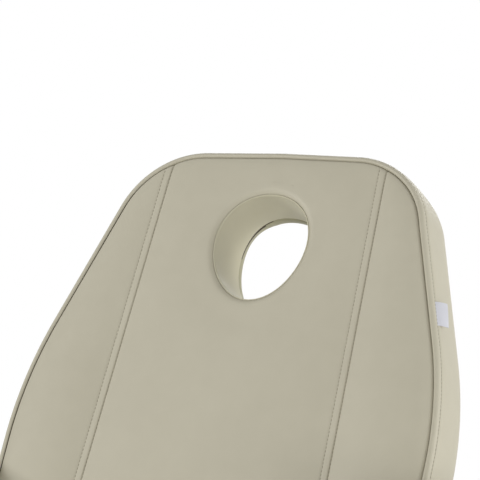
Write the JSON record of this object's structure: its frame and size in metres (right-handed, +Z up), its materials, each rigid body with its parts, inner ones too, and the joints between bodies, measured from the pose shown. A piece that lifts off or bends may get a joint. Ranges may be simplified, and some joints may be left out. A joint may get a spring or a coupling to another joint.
{
  "type": "beauty treatment chair",
  "caption": "Electric treatment chair: upholstered back with face hole, seat and leg rest on a parallelogram lift, with folding armrests.",
  "frame": {"origin": "on the floor, under the middle of the chair's bounding box", "axes": "+Z up, the chair faces -Y, +X is the sitter's left"},
  "size_m": [0.8, 1.4022, 1.2074],
  "materials": {
    "taupe_leather": "smooth synthetic leather, satin",
    "lining_leather": "smooth synthetic leather, satin",
    "plywood": "dark stained edge",
    "white_paint": "satin powder coat",
    "steel": "turned",
    "grey_case": "fine grain",
    "black_rubber": "matte"
  },
  "bodies": {
    "base": {"base_rail_left": "white_paint", "base_rail_right": "white_paint", "base_cross_front": "white_paint", "base_cross_middle": "white_paint", "base_cross_rear": "white_paint", "foot_front_left": "black_rubber", "foot_front_right": "black_rubber", "foot_rear_left": "black_rubber", "foot_rear_right": "black_rubber", "control_box": "grey_case", "mains_inlet": "black_rubber", "lift_actuator": "grey_case", "lift_bolt": "steel"},
    "lower_arms": {"lower_arm_left": "white_paint", "lower_arm_right": "white_paint", "torque_shaft": "steel", "lower_top_shaft": "steel"},
    "upper_arms": {"upper_arm_left": "white_paint", "upper_arm_right": "white_paint", "upper_base_shaft": "steel", "upper_top_shaft": "steel"},
    "seat": {"seat_rail_left": "white_paint", "seat_rail_right": "white_paint", "seat_cross_front": "white_paint", "seat_cross_rear": "white_paint", "seat_board": "plywood", "seat_cushion": "taupe_leather", "back_actuator": "grey_case", "back_bolt": "steel", "leg_actuator": "grey_case", "leg_bolt": "steel", "armrest_post_left": "white_paint", "armrest_post_right": "white_paint"},
    "back": {"back_cross_lower": "white_paint", "back_cross_upper": "white_paint", "back_tube_left": "white_paint", "back_tube_right": "white_paint", "back_board": "plywood", "back_cushion": "taupe_leather", "face_hole_lining": "lining_leather", "back_hinge_pin_left": "steel", "back_hinge_pin_right": "steel"},
    "leg": {"leg_tube_left": "white_paint", "leg_tube_right": "white_paint", "leg_cross": "white_paint", "leg_board": "plywood", "leg_cushion": "taupe_leather", "leg_hinge_pin_left": "steel", "leg_hinge_pin_right": "steel"},
    "lift_rod": {"lift_rod": "steel"},
    "back_rod": {"back_rod": "steel"},
    "leg_rod": {"leg_rod": "steel"},
    "armrest_left": {"armrest_bracket_left": "white_paint", "armrest_bolt_left": "steel", "armrest_pad_left": "taupe_leather"},
    "armrest_right": {"armrest_bracket_right": "white_paint", "armrest_bolt_right": "steel", "armrest_pad_right": "taupe_leather"}
  },
  "joints": [
    {"name": "lift", "type": "hinge", "parent": "base", "child": "lower_arms", "pos_m": [0, -0.16974, 0.195], "axis": [1, 0, 0], "range_deg": [0, 45]},
    {"name": "upper_arm_swing", "type": "hinge", "parent": "base", "child": "upper_arms", "pos_m": [0, -0.21774, 0.265], "axis": [1, 0, 0], "range_deg": [0, 45]},
    {"name": "seat_level", "type": "hinge", "parent": "lower_arms", "child": "seat", "pos_m": [0, 0.20195, 0.27401], "axis": [1, 0, 0], "range_deg": [-45, 0]},
    {"name": "back_recline", "type": "hinge", "parent": "seat", "child": "back", "pos_m": [0, 0.31026, 0.562], "axis": [1, 0, 0], "range_deg": [-61, 11]},
    {"name": "leg_raise", "type": "hinge", "parent": "seat", "child": "leg", "pos_m": [0, -0.24974, 0.4887], "axis": [-1, 0, 0], "range_deg": [-34, 38]},
    {"name": "armrest_left_fold", "type": "hinge", "parent": "seat", "child": "armrest_left", "pos_m": [0.358, 0.40026, 0.7417], "axis": [-1, 0, 0], "range_deg": [0, 90]},
    {"name": "armrest_right_fold", "type": "hinge", "parent": "seat", "child": "armrest_right", "pos_m": [-0.358, 0.40026, 0.7417], "axis": [-1, 0, 0], "range_deg": [0, 90]},
    {"name": "lift_rod_slide", "type": "slide", "parent": "base", "child": "lift_rod", "axis": [0, 1, 0], "range_m": [0, 0.085]},
    {"name": "back_rod_slide", "type": "slide", "parent": "seat", "child": "back_rod", "axis": [0, 1, 0], "range_m": [-0.152, 0.028]},
    {"name": "leg_rod_slide", "type": "slide", "parent": "seat", "child": "leg_rod", "axis": [0, -1, 0], "range_m": [-0.0565, 0.063]}
  ],
  "couplings": [
    {"joint": "upper_arm_swing", "follows": "lift", "ratio": 1},
    {"joint": "seat_level", "follows": "lift", "ratio": -1},
    {"joint": "lift_rod_slide", "follows": "lift", "m_per_rad": 0.10719},
    {"joint": "back_rod_slide", "follows": "back_recline", "m_per_rad": 0.1426},
    {"joint": "leg_rod_slide", "follows": "leg_raise", "m_per_rad": 0.0948}
  ]
}
